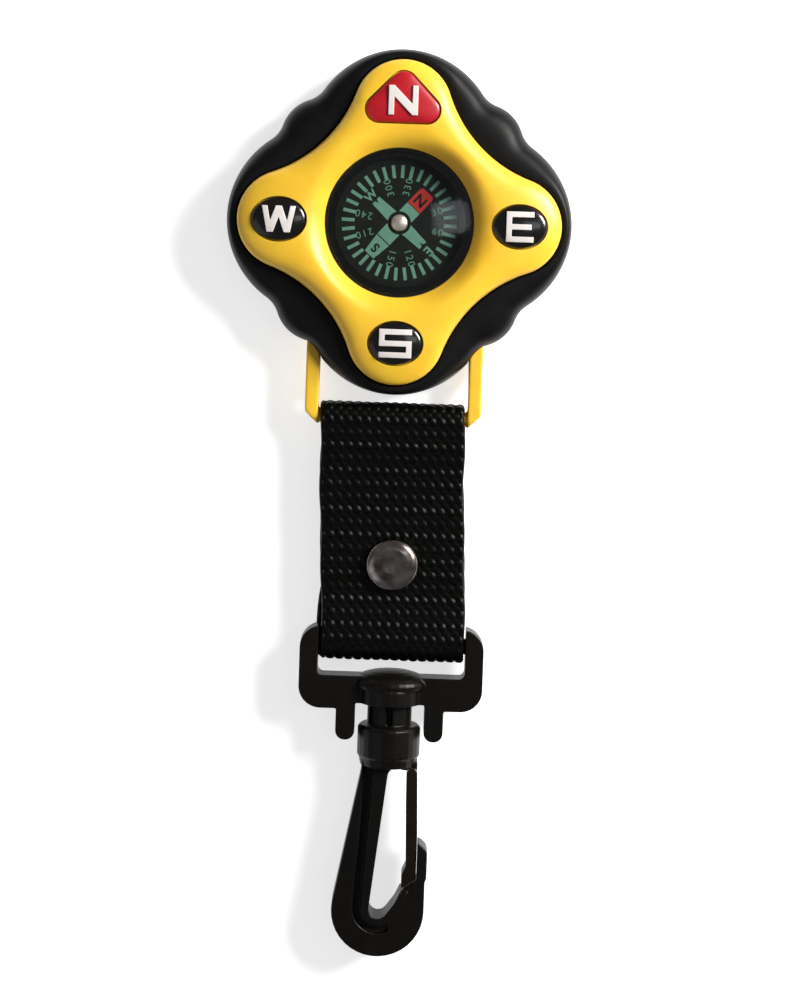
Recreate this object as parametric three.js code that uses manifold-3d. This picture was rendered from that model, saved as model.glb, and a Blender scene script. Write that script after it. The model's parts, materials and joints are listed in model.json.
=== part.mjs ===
// Clip-on fob compass: a four-lobed case with a button compass, a web strap and a swivel hook.
// Millimetres, +Z up. The object lies on its back: +Z is the side the dial is read from, +Y points
// from the hook to the north badge, and the origin is on the compass axis at the back face.

import * as THREE from "three";
import { mergeVertices } from "three/addons/utils/BufferGeometryUtils.js";
import Module from "manifold-3d";

const wasm = await Module();
wasm.setup();

// ---------------------------------------------------------------- driving dimensions

const CLEAR = 0.3; // gap between neighbouring pieces
const SEAT = 0.1; // gap under a piece that is pressed or printed on

// Case outlines: four lobes, seen along Z.
const BUMPER = { tip: 29.75, lobe: 16.5, dip: 5, bulge: 7, corner: 26.75 };
const BEZEL = { tip: 27.75, lobe: 8.4, waist: 18.95 };
const AROUND = 80; // steps round the case
const SIDES = { large: 40, medium: 28, small: 16 }; // of round pieces

// Case heights.
const BACK_THICK = 3.2;
const LEDGE_Z = 9.6; // ledge of the grip that the bezel sits on
const LIP_Z = 10.7; // top of the grip beside the bezel
const GRIP_SHOULDER_Z = 6.6;
const GRIP_WALL = 5; // grip outside the back cover's plate
const BEZEL_EDGE_Z = 11.2;
const BEZEL_TOP_Z = 13.7;
const WELL_RADIUS = 16.1; // hole through the grip

// Funnel and capsule.
const FUNNEL_RADIUS = 14.9;
const WINDOW_RADIUS = 12.75;
const WINDOW_Z = 11.6;
const CAPSULE_RADIUS = 13.5;
const CAPSULE_WALL = 1.2;
const CAPSULE_FLOOR_Z = 3.6;
const CAPSULE_FLOOR_THICK = 0.9;
const CAPSULE_SEAM_Z = 9.4;
const CAPSULE_RIM_Z = 10.6;
const LENS_TOP_Z = 11.9;
const LENS_SAG = 0.7;
const LENS_WALL = 0.9;
const CARD_RADIUS = 11.2;
const CARD_Z = 7.6;
const CARD_THICK = 0.5;
const MAGNET = { length: 13, width: 2.8, height: 1.1 };
const CUP_RADIUS = 1.45;
const DIAL_HEADING = THREE.MathUtils.degToRad(-42); // where the needle's north happens to point

// Badges.
const BADGE_OFFSET = 20.5; // from the compass axis
const OVAL = { halfLength: 4.55, halfWidth: 3.6 };
const TRIANGLE = { top: 25.6, bottom: 17, half: 6.25, corner: 2.2, middle: 20.7 };
const POCKET_Z = 11.9;
const BADGE_EDGE_Z = 13.3;
const BADGE_DOME = 0.75;
const LETTER_BASE_Z = 13.85;
const LETTER_TOP_Z = 14.3;
const LETTER_HALF = { n: [2.5, 2.5], e: [2.35, 2.6], s: [2.8, 2.45], w: [2.9, 2.25] }; // width, height
const STROKE = 0.95; // width of the letters' bars

// Screws, under the badges.
const SCREW = { radius: 0.9, head: 2, headTop: 1.4, top: 8.6, pilot: 1.2, boss: 2.7 };

// Strap, its two bars and the rivet. Everything behind the case is centred on HARDWARE_Z. The strap
// hangs a little askew, so it shifts along X by `lean` for each millimetre below the case bar.
const HARDWARE_Z = 5.7;
const STRAP = { width: 25, thick: 1.25, pitch: 1.6, lean: 0.03 };
const STRAP_RUN = { hiddenEnd: 7.5, backEnd: 8, flat: 4.5, frontRise: 14, backRise: 11 }; // from the rivet
const LOOP = { barY: -33.7, barRadius: 1.2, inner: 12.95, outer: 15.3, root: -13, chamfer: 3 };
const LEG = { wall: 0.55, slopeRun: 5, flatRun: 4.7 }; // wall round the bar, then the underside's runs
const EYE = { barY: -73.55, barRadius: 1.4 };
const RIVET = { y: -59.2, cap: 4.5, capHeight: 1.8, post: 1.35, flange: 4, flangeThick: 0.6 };

// Swivel frame.
const FRAME = { half: 16.05, top: -70.3, bottom: -84.8, rail: 3.2, corner: 3.8, thick: 4.8 };
const FRAME_SLOT_BOTTOM = -79;
const BOSS = { radius: 5.6, shoulder: 6.8, apex: -77.9, widest: -80.4, seam: -81.2, bottom: -83.8 };
const EAR = { inner: 6.05, outer: 9.4, bottom: -90.3, corner: 1.6 };

// Swivel stem and hook.
const STEM = { radius: 3.9, head: 4.5, headLength: 1.7, slot: 1, slotDepth: 2.2 };
const COLLAR = { radius: 5.5, top: -87.6, ledge: -93, bottom: -94.8 };
const BOWL = { x: -0.97, y: -120.5, radius: 8.15 };
const HOOK_THICK = 5.2;
const OPENING_TOP = { x: 1.45, y: -96.3, radius: 1.4 }; // round top of the hook's opening
const THROAT = { x: -0.9, y: -120.05, radius: 1.65 }; // round bottom of the hook's opening
const NOSE = { outer: 7.45, top: -108.2, foot: -115.2 };
const BEAD = { thick: 6.6, top: 2.6, foot: 1.4 };
const GROOVE = { width: 1.6, depth: 0.8 };
const GATE = { rootX: 4.3, rootY: -96.1, knuckle: 0.95, inner: 3.05, outer: 5.6, thick: 4.4 };
const GATE_TIP = { heel: -112.4, toe: -114, low: -116.4, high: -114.6 };

// ---------------------------------------------------------------- materials

function material(color, roughness, metalness = 0) {
  return new THREE.MeshStandardMaterial({ color, roughness, metalness });
}

const yellowPlastic = () => material(0xeec02c, 0.35);
const blackRubber = () => material(0x1b1b1c, 0.55);
const glossBlack = () => material(0x0e0d0c, 0.15);
const redPlastic = () => material(0xb5101c, 0.3);
const whiteInk = () => material(0xf0eeea, 0.45);
const blackPlastic = () => material(0x161310, 0.4);
const blackWeb = () => material(0x141413, 0.9);
const steel = () => material(0xbfc1c4, 0.2, 1);
const dullSteel = () => material(0x55565a, 0.5, 1);

function clearPlastic() {
  const finish = material(0xf4f6f6, 0.05);
  finish.transparent = true;
  finish.opacity = 0.2;
  return finish;
}

// ---------------------------------------------------------------- solids: join, cut, intersect

function toSolid(geometry) {
  const bare = geometry.index ? geometry.toNonIndexed() : geometry.clone();
  bare.deleteAttribute("normal");
  bare.deleteAttribute("uv");
  const merged = mergeVertices(bare, 1e-5);
  const mesh = new wasm.Mesh({
    numProp: 3,
    vertProperties: new Float32Array(merged.attributes.position.array),
    triVerts: new Uint32Array(merged.index.array),
  });
  return new wasm.Manifold(mesh);
}

function toGeometry(solid) {
  const mesh = solid.getMesh();
  const geometry = new THREE.BufferGeometry();
  geometry.setAttribute("position", new THREE.BufferAttribute(new Float32Array(mesh.vertProperties), 3));
  geometry.setIndex(new THREE.BufferAttribute(new Uint32Array(mesh.triVerts), 1));
  return geometry;
}

function join(...parts) {
  return parts.reduce((sum, part) => sum.add(part));
}

function cut(body, ...tools) {
  return tools.reduce((rest, tool) => rest.subtract(tool), body);
}

// ---------------------------------------------------------------- shape helpers

// A prism of a flat shape between two heights.
function prism(shape, bottom, top, curveSegments = 8) {
  const options = { depth: top - bottom, bevelEnabled: false, curveSegments };
  return toSolid(new THREE.ExtrudeGeometry(shape, options).translate(0, 0, bottom));
}

// A prism that runs along X, centred on the middle plane, from a shape drawn in (y, z). Each
// millimetre along Y moves its section by `slant` along X.
function prismAlongX(shape, width, slant = 0) {
  const options = { depth: width, bevelEnabled: false, curveSegments: 8 };
  const geometry = new THREE.ExtrudeGeometry(shape, options);
  const turn = new THREE.Matrix4().makeBasis(
    new THREE.Vector3(slant, 1, 0),
    new THREE.Vector3(0, 0, 1),
    new THREE.Vector3(1, 0, 0),
  );
  return toSolid(geometry.translate(0, 0, -width / 2).applyMatrix4(turn));
}

function block(width, depth, height, x, y, z) {
  return toSolid(new THREE.BoxGeometry(width, depth, height).translate(x, y, z));
}

// A turned piece round Z from [radius, z] points, which start and end on the axis or close.
function turnedZ(points, steps) {
  const profile = points.map(([r, z]) => new THREE.Vector2(r, z));
  return toSolid(new THREE.LatheGeometry(profile, steps).rotateX(Math.PI / 2));
}

// A turned piece round the hook's Y axis from [radius, y] points.
function turnedY(points, steps) {
  const profile = points.map(([r, y]) => new THREE.Vector2(r, y));
  return toSolid(new THREE.LatheGeometry(profile, steps).translate(0, 0, HARDWARE_Z));
}

function rodZ(radius, bottom, top, x, y, steps = SIDES.medium) {
  const rod = new THREE.CylinderGeometry(radius, radius, top - bottom, steps).rotateX(Math.PI / 2);
  return toSolid(rod.translate(x, y, (top + bottom) / 2));
}

function rodX(radius, length, y, z, steps = SIDES.small) {
  const rod = new THREE.CylinderGeometry(radius, radius, length, steps).rotateZ(Math.PI / 2);
  return toSolid(rod.translate(0, y, z));
}

function shapeFrom(points) {
  return new THREE.Shape(points.map(([x, y]) => new THREE.Vector2(x, y)));
}

// Closed outline of a band of even width along a line of points.
function ribbon(line, width) {
  const left = [];
  const right = [];
  line.forEach(([x, y], i) => {
    const [ax, ay] = line[Math.max(i - 1, 0)];
    const [bx, by] = line[Math.min(i + 1, line.length - 1)];
    const length = Math.hypot(bx - ax, by - ay);
    const nx = (-(by - ay) / length) * (width / 2);
    const ny = ((bx - ax) / length) * (width / 2);
    left.push([x + nx, y + ny]);
    right.push([x - nx, y - ny]);
  });
  return [...right, ...left.reverse()];
}

// Points along an arc, both ends included.
function arcPoints(x, y, radius, from, to, steps) {
  const points = [];
  for (let i = 0; i <= steps; i += 1) {
    const turn = from + ((to - from) * i) / steps;
    points.push([x + radius * Math.cos(turn), y + radius * Math.sin(turn)]);
  }
  return points;
}

// Distance from the origin, along the ray at `angle`, to a circle centred at polar (distance, bearing).
// side +1 takes the far crossing (a bulge) and -1 the near one (a hollow).
function rayToCircle(angle, distance, bearing, radius, side) {
  const off = bearing - angle;
  return distance * Math.cos(off) + side * Math.sqrt(radius ** 2 - (distance * Math.sin(off)) ** 2);
}

// Folds any angle into the 45 degree sector between a lobe axis (0) and a diagonal.
function foldAngle(angle) {
  const quarter = Math.PI / 2;
  const local = angle - quarter * Math.round(angle / quarter);
  return Math.abs(local);
}

// Grip outline: a lobe arc and a bulge arc on the diagonal, joined by a hollow arc tangent to both.
function bumperRadius(angle) {
  const lobeAt = new THREE.Vector2(BUMPER.tip - BUMPER.lobe, 0);
  const bulgeAway = BUMPER.corner - BUMPER.bulge;
  const bulgeAt = new THREE.Vector2(bulgeAway * Math.SQRT1_2, bulgeAway * Math.SQRT1_2);
  const toLobe = BUMPER.lobe + BUMPER.dip;
  const toBulge = BUMPER.bulge + BUMPER.dip;
  const between = bulgeAt.clone().sub(lobeAt);
  const apart = between.length();
  const along = (toLobe ** 2 - toBulge ** 2 + apart ** 2) / (2 * apart);
  const across = Math.sqrt(toLobe ** 2 - along ** 2);
  between.normalize();
  const dipAt = lobeAt.clone().addScaledVector(between, along);
  dipAt.add(new THREE.Vector2(between.y, -between.x).multiplyScalar(across));
  const lobeEnd = lobeAt.clone().lerp(dipAt, BUMPER.lobe / toLobe).angle();
  const bulgeStart = bulgeAt.clone().lerp(dipAt, BUMPER.bulge / toBulge).angle();
  const local = foldAngle(angle);
  if (local <= lobeEnd) {
    return rayToCircle(local, lobeAt.length(), 0, BUMPER.lobe, 1);
  }
  if (local < bulgeStart) {
    return rayToCircle(local, dipAt.length(), dipAt.angle(), BUMPER.dip, -1);
  }
  return rayToCircle(local, bulgeAway, Math.PI / 4, BUMPER.bulge, 1);
}

// Bezel outline: round lobes joined by one hollow arc across each diagonal. The hollow's radius
// follows from being tangent to both lobes while passing the waist point.
function bezelRadius(angle, grow = 0) {
  const lobeAway = BEZEL.tip - BEZEL.lobe;
  const reach = BEZEL.waist;
  const numerator = lobeAway ** 2 + reach ** 2 - BEZEL.lobe ** 2 - Math.SQRT2 * lobeAway * reach;
  const hollow = numerator / (2 * BEZEL.lobe + Math.SQRT2 * lobeAway - 2 * reach);
  const hollowAway = reach + hollow;
  const lobeAt = new THREE.Vector2(lobeAway, 0);
  const hollowAt = new THREE.Vector2(hollowAway * Math.SQRT1_2, hollowAway * Math.SQRT1_2);
  const lobeEnd = lobeAt.clone().lerp(hollowAt, BEZEL.lobe / (BEZEL.lobe + hollow)).angle();
  const local = foldAngle(angle);
  if (local <= lobeEnd) {
    return rayToCircle(local, lobeAway, 0, BEZEL.lobe + grow, 1);
  }
  return rayToCircle(local, hollowAway, Math.PI / 4, hollow - grow, -1);
}

// A ring whose section changes with the angle: section(angle) gives a closed loop of [radius, z],
// counter-clockwise when radius runs right and z runs up.
function lobedRing(section, steps) {
  const positions = [];
  const index = [];
  let count = 0;
  for (let i = 0; i < steps; i += 1) {
    const angle = (2 * Math.PI * i) / steps;
    const loop = section(angle);
    count = loop.length;
    for (const [radius, z] of loop) {
      positions.push(radius * Math.cos(angle), radius * Math.sin(angle), z);
    }
  }
  for (let i = 0; i < steps; i += 1) {
    const here = i * count;
    const next = ((i + 1) % steps) * count;
    for (let j = 0; j < count; j += 1) {
      const after = (j + 1) % count;
      index.push(here + j, next + j, next + after);
      index.push(here + j, next + after, here + after);
    }
  }
  const geometry = new THREE.BufferGeometry();
  geometry.setAttribute("position", new THREE.Float32BufferAttribute(positions, 3));
  geometry.setIndex(index);
  return toSolid(geometry);
}

// A pad with a flat back, a straight edge and a domed face, over a flat outline of [x, y] points.
function domedPad(outline, center, bottom, edge, dome) {
  const levels = 5;
  const positions = [];
  const index = [];
  const count = outline.length;
  const ring = (scale, z) => {
    for (const [x, y] of outline) {
      positions.push(center[0] + (x - center[0]) * scale, center[1] + (y - center[1]) * scale, z);
    }
  };
  ring(1, bottom);
  for (let k = 0; k < levels; k += 1) {
    const lean = (Math.PI / 2) * (k / levels);
    ring(Math.cos(lean), edge + dome * Math.sin(lean));
  }
  const backCenter = positions.length / 3;
  positions.push(center[0], center[1], bottom);
  positions.push(center[0], center[1], edge + dome);
  for (let j = 0; j < count; j += 1) {
    const after = (j + 1) % count;
    for (let k = 0; k < levels; k += 1) {
      const low = k * count;
      const high = (k + 1) * count;
      index.push(low + j, low + after, high + after);
      index.push(low + j, high + after, high + j);
    }
    index.push(backCenter, after, j);
    index.push(backCenter + 1, levels * count + j, levels * count + after);
  }
  const geometry = new THREE.BufferGeometry();
  geometry.setAttribute("position", new THREE.Float32BufferAttribute(positions, 3));
  geometry.setIndex(index);
  return toSolid(geometry);
}

// ---------------------------------------------------------------- case

// The four cardinal directions, each with the bearing of its badge from +X.
const CARDINALS = [
  { name: "north", bearing: Math.PI / 2 },
  { name: "east", bearing: 0 },
  { name: "south", bearing: -Math.PI / 2 },
  { name: "west", bearing: Math.PI },
];

function lobePoint(bearing, distance) {
  return [distance * Math.cos(bearing), distance * Math.sin(bearing)];
}

function rodsAtLobes(radius, bottom, top) {
  return CARDINALS.map(({ bearing }) => {
    const [x, y] = lobePoint(bearing, BADGE_OFFSET);
    return rodZ(radius, bottom, top, x, y, SIDES.small);
  });
}

function ovalOutline(bearing, grow = 0) {
  const [cx, cy] = lobePoint(bearing, BADGE_OFFSET);
  const steps = 28;
  const points = [];
  for (let i = 0; i < steps; i += 1) {
    const turn = (2 * Math.PI * i) / steps;
    const x = (OVAL.halfLength + grow) * Math.cos(turn);
    const y = (OVAL.halfWidth + grow) * Math.sin(turn);
    points.push([cx + x, cy + y]);
  }
  return points;
}

// Triangle with three round corners, one of them pointing away from the compass.
function triangleOutline(grow = 0) {
  const side = TRIANGLE.half - TRIANGLE.corner;
  const low = TRIANGLE.bottom + TRIANGLE.corner;
  const centers = [[0, TRIANGLE.top - TRIANGLE.corner], [-side, low], [side, low]];
  const facing = ([ax, ay], [bx, by]) => Math.atan2(ax - bx, by - ay);
  return centers.flatMap((center, k) => {
    const start = facing(centers[(k + 2) % 3], center);
    const turn = facing(center, centers[(k + 1) % 3]) - start;
    const sweep = turn < 0 ? turn + 2 * Math.PI : turn;
    return arcPoints(center[0], center[1], TRIANGLE.corner + grow, start, start + sweep, 7);
  });
}

function badgeOutline(name, bearing, grow = 0) {
  return name === "north" ? triangleOutline(grow) : ovalOutline(bearing, grow);
}

function badgeCenter(name, bearing) {
  return lobePoint(bearing, name === "north" ? TRIANGLE.middle : BADGE_OFFSET);
}

function frontBezel() {
  const domeSteps = 6;
  const fullness = 2.6; // how squarely the crown turns down to the rim
  const chamfer = 0.5;
  const socket = CAPSULE_RADIUS + CLEAR;
  const foot = LEDGE_Z + CLEAR;
  const section = (angle) => {
    const rim = bezelRadius(angle);
    const loop = [[socket, foot], [rim - chamfer, foot], [rim, foot + chamfer]];
    for (let k = 0; k <= domeSteps; k += 1) {
      const out = Math.cos((Math.PI / 2) * (k / domeSteps));
      const rise = Math.sqrt(1 - out ** fullness);
      const radius = FUNNEL_RADIUS + (rim - FUNNEL_RADIUS) * out;
      loop.push([radius, BEZEL_EDGE_Z + (BEZEL_TOP_Z - BEZEL_EDGE_Z) * rise]);
    }
    loop.push([WINDOW_RADIUS, WINDOW_Z]);
    loop.push([WINDOW_RADIUS, CAPSULE_RIM_Z + CLEAR]);
    loop.push([socket, CAPSULE_RIM_Z + CLEAR]);
    return loop;
  };
  const shell = lobedRing(section, AROUND);
  const bosses = rodsAtLobes(SCREW.boss, BACK_THICK + CLEAR, LEDGE_Z + 1);
  const pilots = rodsAtLobes(SCREW.pilot, BACK_THICK, SCREW.top + 2 * CLEAR);
  const pockets = CARDINALS.map(({ name, bearing }) => {
    const outline = shapeFrom(badgeOutline(name, bearing, CLEAR));
    return prism(outline, POCKET_Z - SEAT, BEZEL_TOP_Z + 1);
  });
  return cut(join(shell, ...bosses), ...pilots, ...pockets);
}

// The plate of the back cover follows the grip round it.
function coverOutline() {
  const points = [];
  for (let i = 0; i < AROUND; i += 1) {
    const angle = (2 * Math.PI * i) / AROUND;
    points.push(lobePoint(angle, bumperRadius(angle) - GRIP_WALL));
  }
  return shapeFrom(points);
}

// The two legs that carry the case bar; `grow` makes the tool that clears them out of the grip.
function loopLegs(grow = 0) {
  const width = LOOP.outer - LOOP.inner + 2 * grow;
  const reach = LOOP.barRadius + LEG.wall + grow;
  const heel = LOOP.barY + LEG.flatRun; // where the underside starts to slope down to the back face
  const toe = heel + LEG.slopeRun;
  const side = new THREE.Shape();
  side.moveTo(LOOP.root + grow, -2 * grow);
  side.lineTo(LOOP.root + grow, HARDWARE_Z + reach);
  side.lineTo(LOOP.barY, HARDWARE_Z + reach);
  side.absarc(LOOP.barY, HARDWARE_Z, reach, Math.PI / 2, (3 * Math.PI) / 2, false);
  side.lineTo(heel, HARDWARE_Z - reach);
  side.lineTo(toe, -2 * grow);
  side.closePath();
  const leg = prismAlongX(side, width);
  const offset = (LOOP.inner + LOOP.outer) / 2;
  return [leg.translate(-offset, 0, 0), leg.translate(offset, 0, 0)];
}

// Wedges that take off the outer lower corner of each leg.
function legCorners() {
  const y = LOOP.barY - LOOP.barRadius - 1;
  return [-1, 1].map((side) => {
    const x = side * (LOOP.outer + SEAT);
    const wedge = shapeFrom([[x, y], [x - side * LOOP.chamfer, y], [x, y + LOOP.chamfer]]);
    return prism(wedge, 0, HARDWARE_Z * 2);
  });
}

function backCover() {
  const plate = prism(coverOutline(), 0, BACK_THICK);
  const bar = rodX(LOOP.barRadius, 2 * LOOP.inner + 1, LOOP.barY, HARDWARE_Z);
  const [wallIn, wallOut] = [CAPSULE_RADIUS + CLEAR, WELL_RADIUS - CLEAR];
  const [wallFoot, wallTop] = [BACK_THICK - 1, 7];
  const wellWall = turnedZ(
    [[wallIn, wallFoot], [wallOut, wallFoot], [wallOut, wallTop], [wallIn, wallTop], [wallIn, wallFoot]],
    SIDES.large,
  );
  const heads = rodsAtLobes(SCREW.head + CLEAR, -1, SCREW.headTop + CLEAR);
  const shanks = rodsAtLobes(SCREW.radius + CLEAR, -1, BACK_THICK + 1);
  return cut(join(plate, wellWall, ...loopLegs(), bar), ...legCorners(), ...heads, ...shanks);
}

function bumperGrip() {
  const domeSteps = 5;
  const foot = 1.6; // width of the rounding at the back edge
  const section = (angle) => {
    const rim = bumperRadius(angle);
    const seat = bezelRadius(angle, CLEAR);
    const cover = rim - GRIP_WALL + CLEAR;
    const loop = [[WELL_RADIUS, BACK_THICK + CLEAR], [cover, BACK_THICK + CLEAR], [cover, 0]];
    loop.push([rim - foot, 0], [rim - foot * 0.3, foot * 0.3], [rim, foot], [rim, GRIP_SHOULDER_Z]);
    for (let k = 1; k <= domeSteps; k += 1) {
      const lean = (Math.PI / 2) * (k / domeSteps);
      const radius = seat + (rim - seat) * Math.cos(lean);
      loop.push([radius, GRIP_SHOULDER_Z + (LIP_Z - GRIP_SHOULDER_Z) * Math.sin(lean)]);
    }
    loop.push([seat, LEDGE_Z], [WELL_RADIUS, LEDGE_Z]);
    return loop;
  };
  const ring = lobedRing(section, AROUND);
  const bossHoles = rodsAtLobes(SCREW.boss + CLEAR, BACK_THICK, LEDGE_Z + 1);
  return cut(ring, ...bossHoles, ...loopLegs(CLEAR));
}

function bodyScrew(bearing) {
  const [x, y] = lobePoint(bearing, BADGE_OFFSET);
  const face = 0.4;
  const driveDepth = 0.5;
  const head = rodZ(SCREW.head, face, SCREW.headTop, x, y, SIDES.small);
  const slots = [0, Math.PI / 2].map((turn) => {
    const bar = new THREE.BoxGeometry(1.2 * SCREW.head, driveDepth, 2 * driveDepth).rotateZ(turn);
    return toSolid(bar.translate(x, y, face));
  });
  const shank = rodZ(SCREW.radius, SCREW.headTop - 0.2, SCREW.top, x, y, SIDES.small);
  return cut(join(head, shank), ...slots);
}

// ---------------------------------------------------------------- badges and letters

function badge(name, bearing) {
  const outline = badgeOutline(name, bearing);
  const center = badgeCenter(name, bearing);
  const pad = domedPad(outline, center, POCKET_Z, BADGE_EDGE_Z, BADGE_DOME);
  const above = block(16, 16, 2, center[0], center[1], LETTER_BASE_Z - SEAT + 1);
  return cut(pad, above);
}

// Letters are outlines within half width w and half height h of the origin.
function letterN(w, h) {
  const slope = 1.9; // height of the diagonal's cut at each upright
  return [[-w, -h], [-w + STROKE, -h], [-w + STROKE, h - slope], [w - STROKE, -h], [w, -h], [w, h],
    [w - STROKE, h], [w - STROKE, -h + slope], [-w + STROKE, h], [-w, h]];
}

function letterE(w, h) {
  const m = STROKE / 2;
  const short = w - 0.4; // the middle bar ends before the other two
  return [[-w, -h], [w, -h], [w, -h + STROKE], [-w + STROKE, -h + STROKE], [-w + STROKE, -m], [short, -m],
    [short, m], [-w + STROKE, m], [-w + STROKE, h - STROKE], [w, h - STROKE], [w, h], [-w, h]];
}

function letterW(w, h) {
  const foot = STROKE * 0.55;
  const q = w / 2;
  const notch = 1.9; // depth of the inner corners
  return [[-w, h], [-q - foot, -h], [-q + foot, -h], [0, h - notch], [q - foot, -h], [q + foot, -h], [w, h],
    [w - STROKE, h], [q, -h + notch], [foot, h], [-foot, h], [-q, -h + notch], [-w + STROKE, h]];
}

// A squared S: three bars joined by two short uprights.
function letterS(w, h) {
  const m = STROKE / 2;
  return [[-w, -h], [w, -h], [w, m], [-w + STROKE, m], [-w + STROKE, h - STROKE], [w, h - STROKE], [w, h],
    [-w, h], [-w, -m], [w - STROKE, -m], [w - STROKE, -h + STROKE], [-w, -h + STROKE]];
}

const LETTER_SHAPES = { n: letterN, e: letterE, s: letterS, w: letterW };

function letter(name, bearing) {
  const initial = name[0];
  const [cx, cy] = badgeCenter(name, bearing);
  const [halfWidth, halfHeight] = LETTER_HALF[initial];
  const outline = LETTER_SHAPES[initial](halfWidth, halfHeight).map(([x, y]) => [x + cx, y + cy]);
  return prism(shapeFrom(outline), LETTER_BASE_Z, LETTER_TOP_Z);
}

// ---------------------------------------------------------------- capsule

function capsuleBase() {
  const inside = CAPSULE_RADIUS - CAPSULE_WALL;
  const floorTop = CAPSULE_FLOOR_Z + CAPSULE_FLOOR_THICK;
  return turnedZ(
    [[0, CAPSULE_FLOOR_Z], [CAPSULE_RADIUS, CAPSULE_FLOOR_Z], [CAPSULE_RADIUS, CAPSULE_SEAM_Z],
      [inside, CAPSULE_SEAM_Z], [inside, floorTop], [0, floorTop]],
    SIDES.large,
  );
}

// The lens: a flange that closes the cup and a thin dome that stands in the bezel's window.
function capsuleDome() {
  const step = WINDOW_RADIUS - CLEAR;
  const inside = step - 1;
  const seam = CAPSULE_SEAM_Z + SEAT;
  const arcSteps = 5;
  const dome = (radius, top) => {
    const points = [];
    for (let k = 0; k <= arcSteps; k += 1) {
      const out = k / arcSteps;
      points.push([radius * out, top - LENS_SAG * out ** 2]);
    }
    return points;
  };
  const points = [...dome(inside, LENS_TOP_Z - LENS_WALL), [inside, seam], [CAPSULE_RADIUS, seam],
    [CAPSULE_RADIUS, CAPSULE_RIM_Z], [step, CAPSULE_RIM_Z], ...dome(step, LENS_TOP_Z).reverse()];
  return turnedZ(points, SIDES.large);
}

function dialCard() {
  const hole = CUP_RADIUS + CLEAR;
  return turnedZ(
    [[hole, CARD_Z], [CARD_RADIUS, CARD_Z], [CARD_RADIUS, CARD_Z + CARD_THICK], [hole, CARD_Z + CARD_THICK],
      [hole, CARD_Z]],
    SIDES.large,
  );
}

function cardMagnet() {
  const top = CARD_Z - CLEAR;
  const bar = block(MAGNET.width, MAGNET.length, MAGNET.height, 0, 0, top - MAGNET.height / 2);
  const eye = rodZ(CUP_RADIUS * 1.6, top - MAGNET.height, top, 0, 0, SIDES.medium);
  const hole = rodZ(CUP_RADIUS + CLEAR, 0, CARD_Z, 0, 0, SIDES.medium);
  return cut(join(bar, eye), hole);
}

// Silver cap of the card, hollow below so that it rides on the needle.
function jewelCup() {
  const bottom = CARD_Z - 1.3;
  const top = CARD_Z + CARD_THICK + 0.7;
  const bore = 0.75;
  return turnedZ(
    [[0, top - 1.1], [bore, bottom], [CUP_RADIUS - 0.2, bottom], [CUP_RADIUS, CARD_Z],
      [CUP_RADIUS, top - 0.5], [CUP_RADIUS * 0.75, top - 0.15], [0, top]],
    SIDES.medium,
  );
}

function pivotNeedle() {
  const foot = CAPSULE_FLOOR_Z + CAPSULE_FLOOR_THICK + SEAT;
  const tip = CARD_Z + CARD_THICK - 0.7;
  return turnedZ([[0, foot], [0.9, foot], [0.9, foot + 0.4], [0.35, foot + 0.6], [0, tip]], SIDES.small);
}

// ---------------------------------------------------------------- strap and rivet

// Points that ease from one [y, z] to another, level at both ends.
function ease([y0, z0], [y1, z1], steps) {
  const points = [];
  for (let i = 0; i <= steps; i += 1) {
    const part = i / steps;
    points.push([y0 + (y1 - y0) * part, z0 + ((z1 - z0) * (1 - Math.cos(Math.PI * part))) / 2]);
  }
  return points;
}

// How far the strap's middle line has moved along X at y, because it hangs askew.
function strapShift(y) {
  return STRAP.lean * (LOOP.barY - y);
}

// One strip: from its end in the middle of the stack, round the case bar, down the front, round the
// frame bar and back up behind, past the rivet.
function webbingStrap() {
  const frontZ = HARDWARE_Z + STRAP.pitch;
  const backZ = HARDWARE_Z - STRAP.pitch;
  const loopR = LOOP.barRadius + CLEAR + STRAP.thick / 2;
  const eyeR = EYE.barRadius + CLEAR + STRAP.thick / 2;
  const quarter = Math.PI / 2;
  const line = [
    [RIVET.y - STRAP_RUN.hiddenEnd, HARDWARE_Z],
    ...ease([RIVET.y + STRAP_RUN.backRise, HARDWARE_Z], [LOOP.barY, HARDWARE_Z - loopR], 8),
    ...arcPoints(LOOP.barY, HARDWARE_Z, loopR, -quarter, quarter, 10).slice(1, -1),
    ...ease([LOOP.barY, HARDWARE_Z + loopR], [RIVET.y + STRAP_RUN.frontRise, frontZ], 6),
    ...ease([RIVET.y - STRAP_RUN.flat, frontZ], [EYE.barY, HARDWARE_Z + eyeR], 6),
    ...arcPoints(EYE.barY, HARDWARE_Z, eyeR, quarter, 3 * quarter, 10).slice(1, -1),
    ...ease([EYE.barY, HARDWARE_Z - eyeR], [RIVET.y - STRAP_RUN.flat, backZ], 6),
    [RIVET.y + STRAP_RUN.backEnd, backZ],
  ];
  const strip = prismAlongX(shapeFrom(ribbon(line, STRAP.thick)), STRAP.width, -STRAP.lean);
  const hole = rodZ(RIVET.post + 2 * CLEAR, 0, 2 * HARDWARE_Z, strapShift(RIVET.y), RIVET.y, SIDES.small);
  return cut(strip.translate(strapShift(0), 0, 0), hole);
}

const STACK = STRAP.pitch + STRAP.thick / 2; // half the height of the three strap layers

function rivetCap() {
  const base = HARDWARE_Z + STACK + SEAT;
  const top = base + RIVET.capHeight;
  const bore = RIVET.post + CLEAR;
  const cap = turnedZ(
    [[0, top - 0.9], [bore, top - 0.9], [bore, base], [RIVET.cap - 0.3, base], [RIVET.cap, base + 0.4],
      [RIVET.cap * 0.97, base + 1], [RIVET.cap * 0.7, top - 0.1], [RIVET.cap * 0.5, top], [0, top - 0.15]],
    SIDES.medium,
  );
  return cap.translate(strapShift(RIVET.y), RIVET.y, 0);
}

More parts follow.
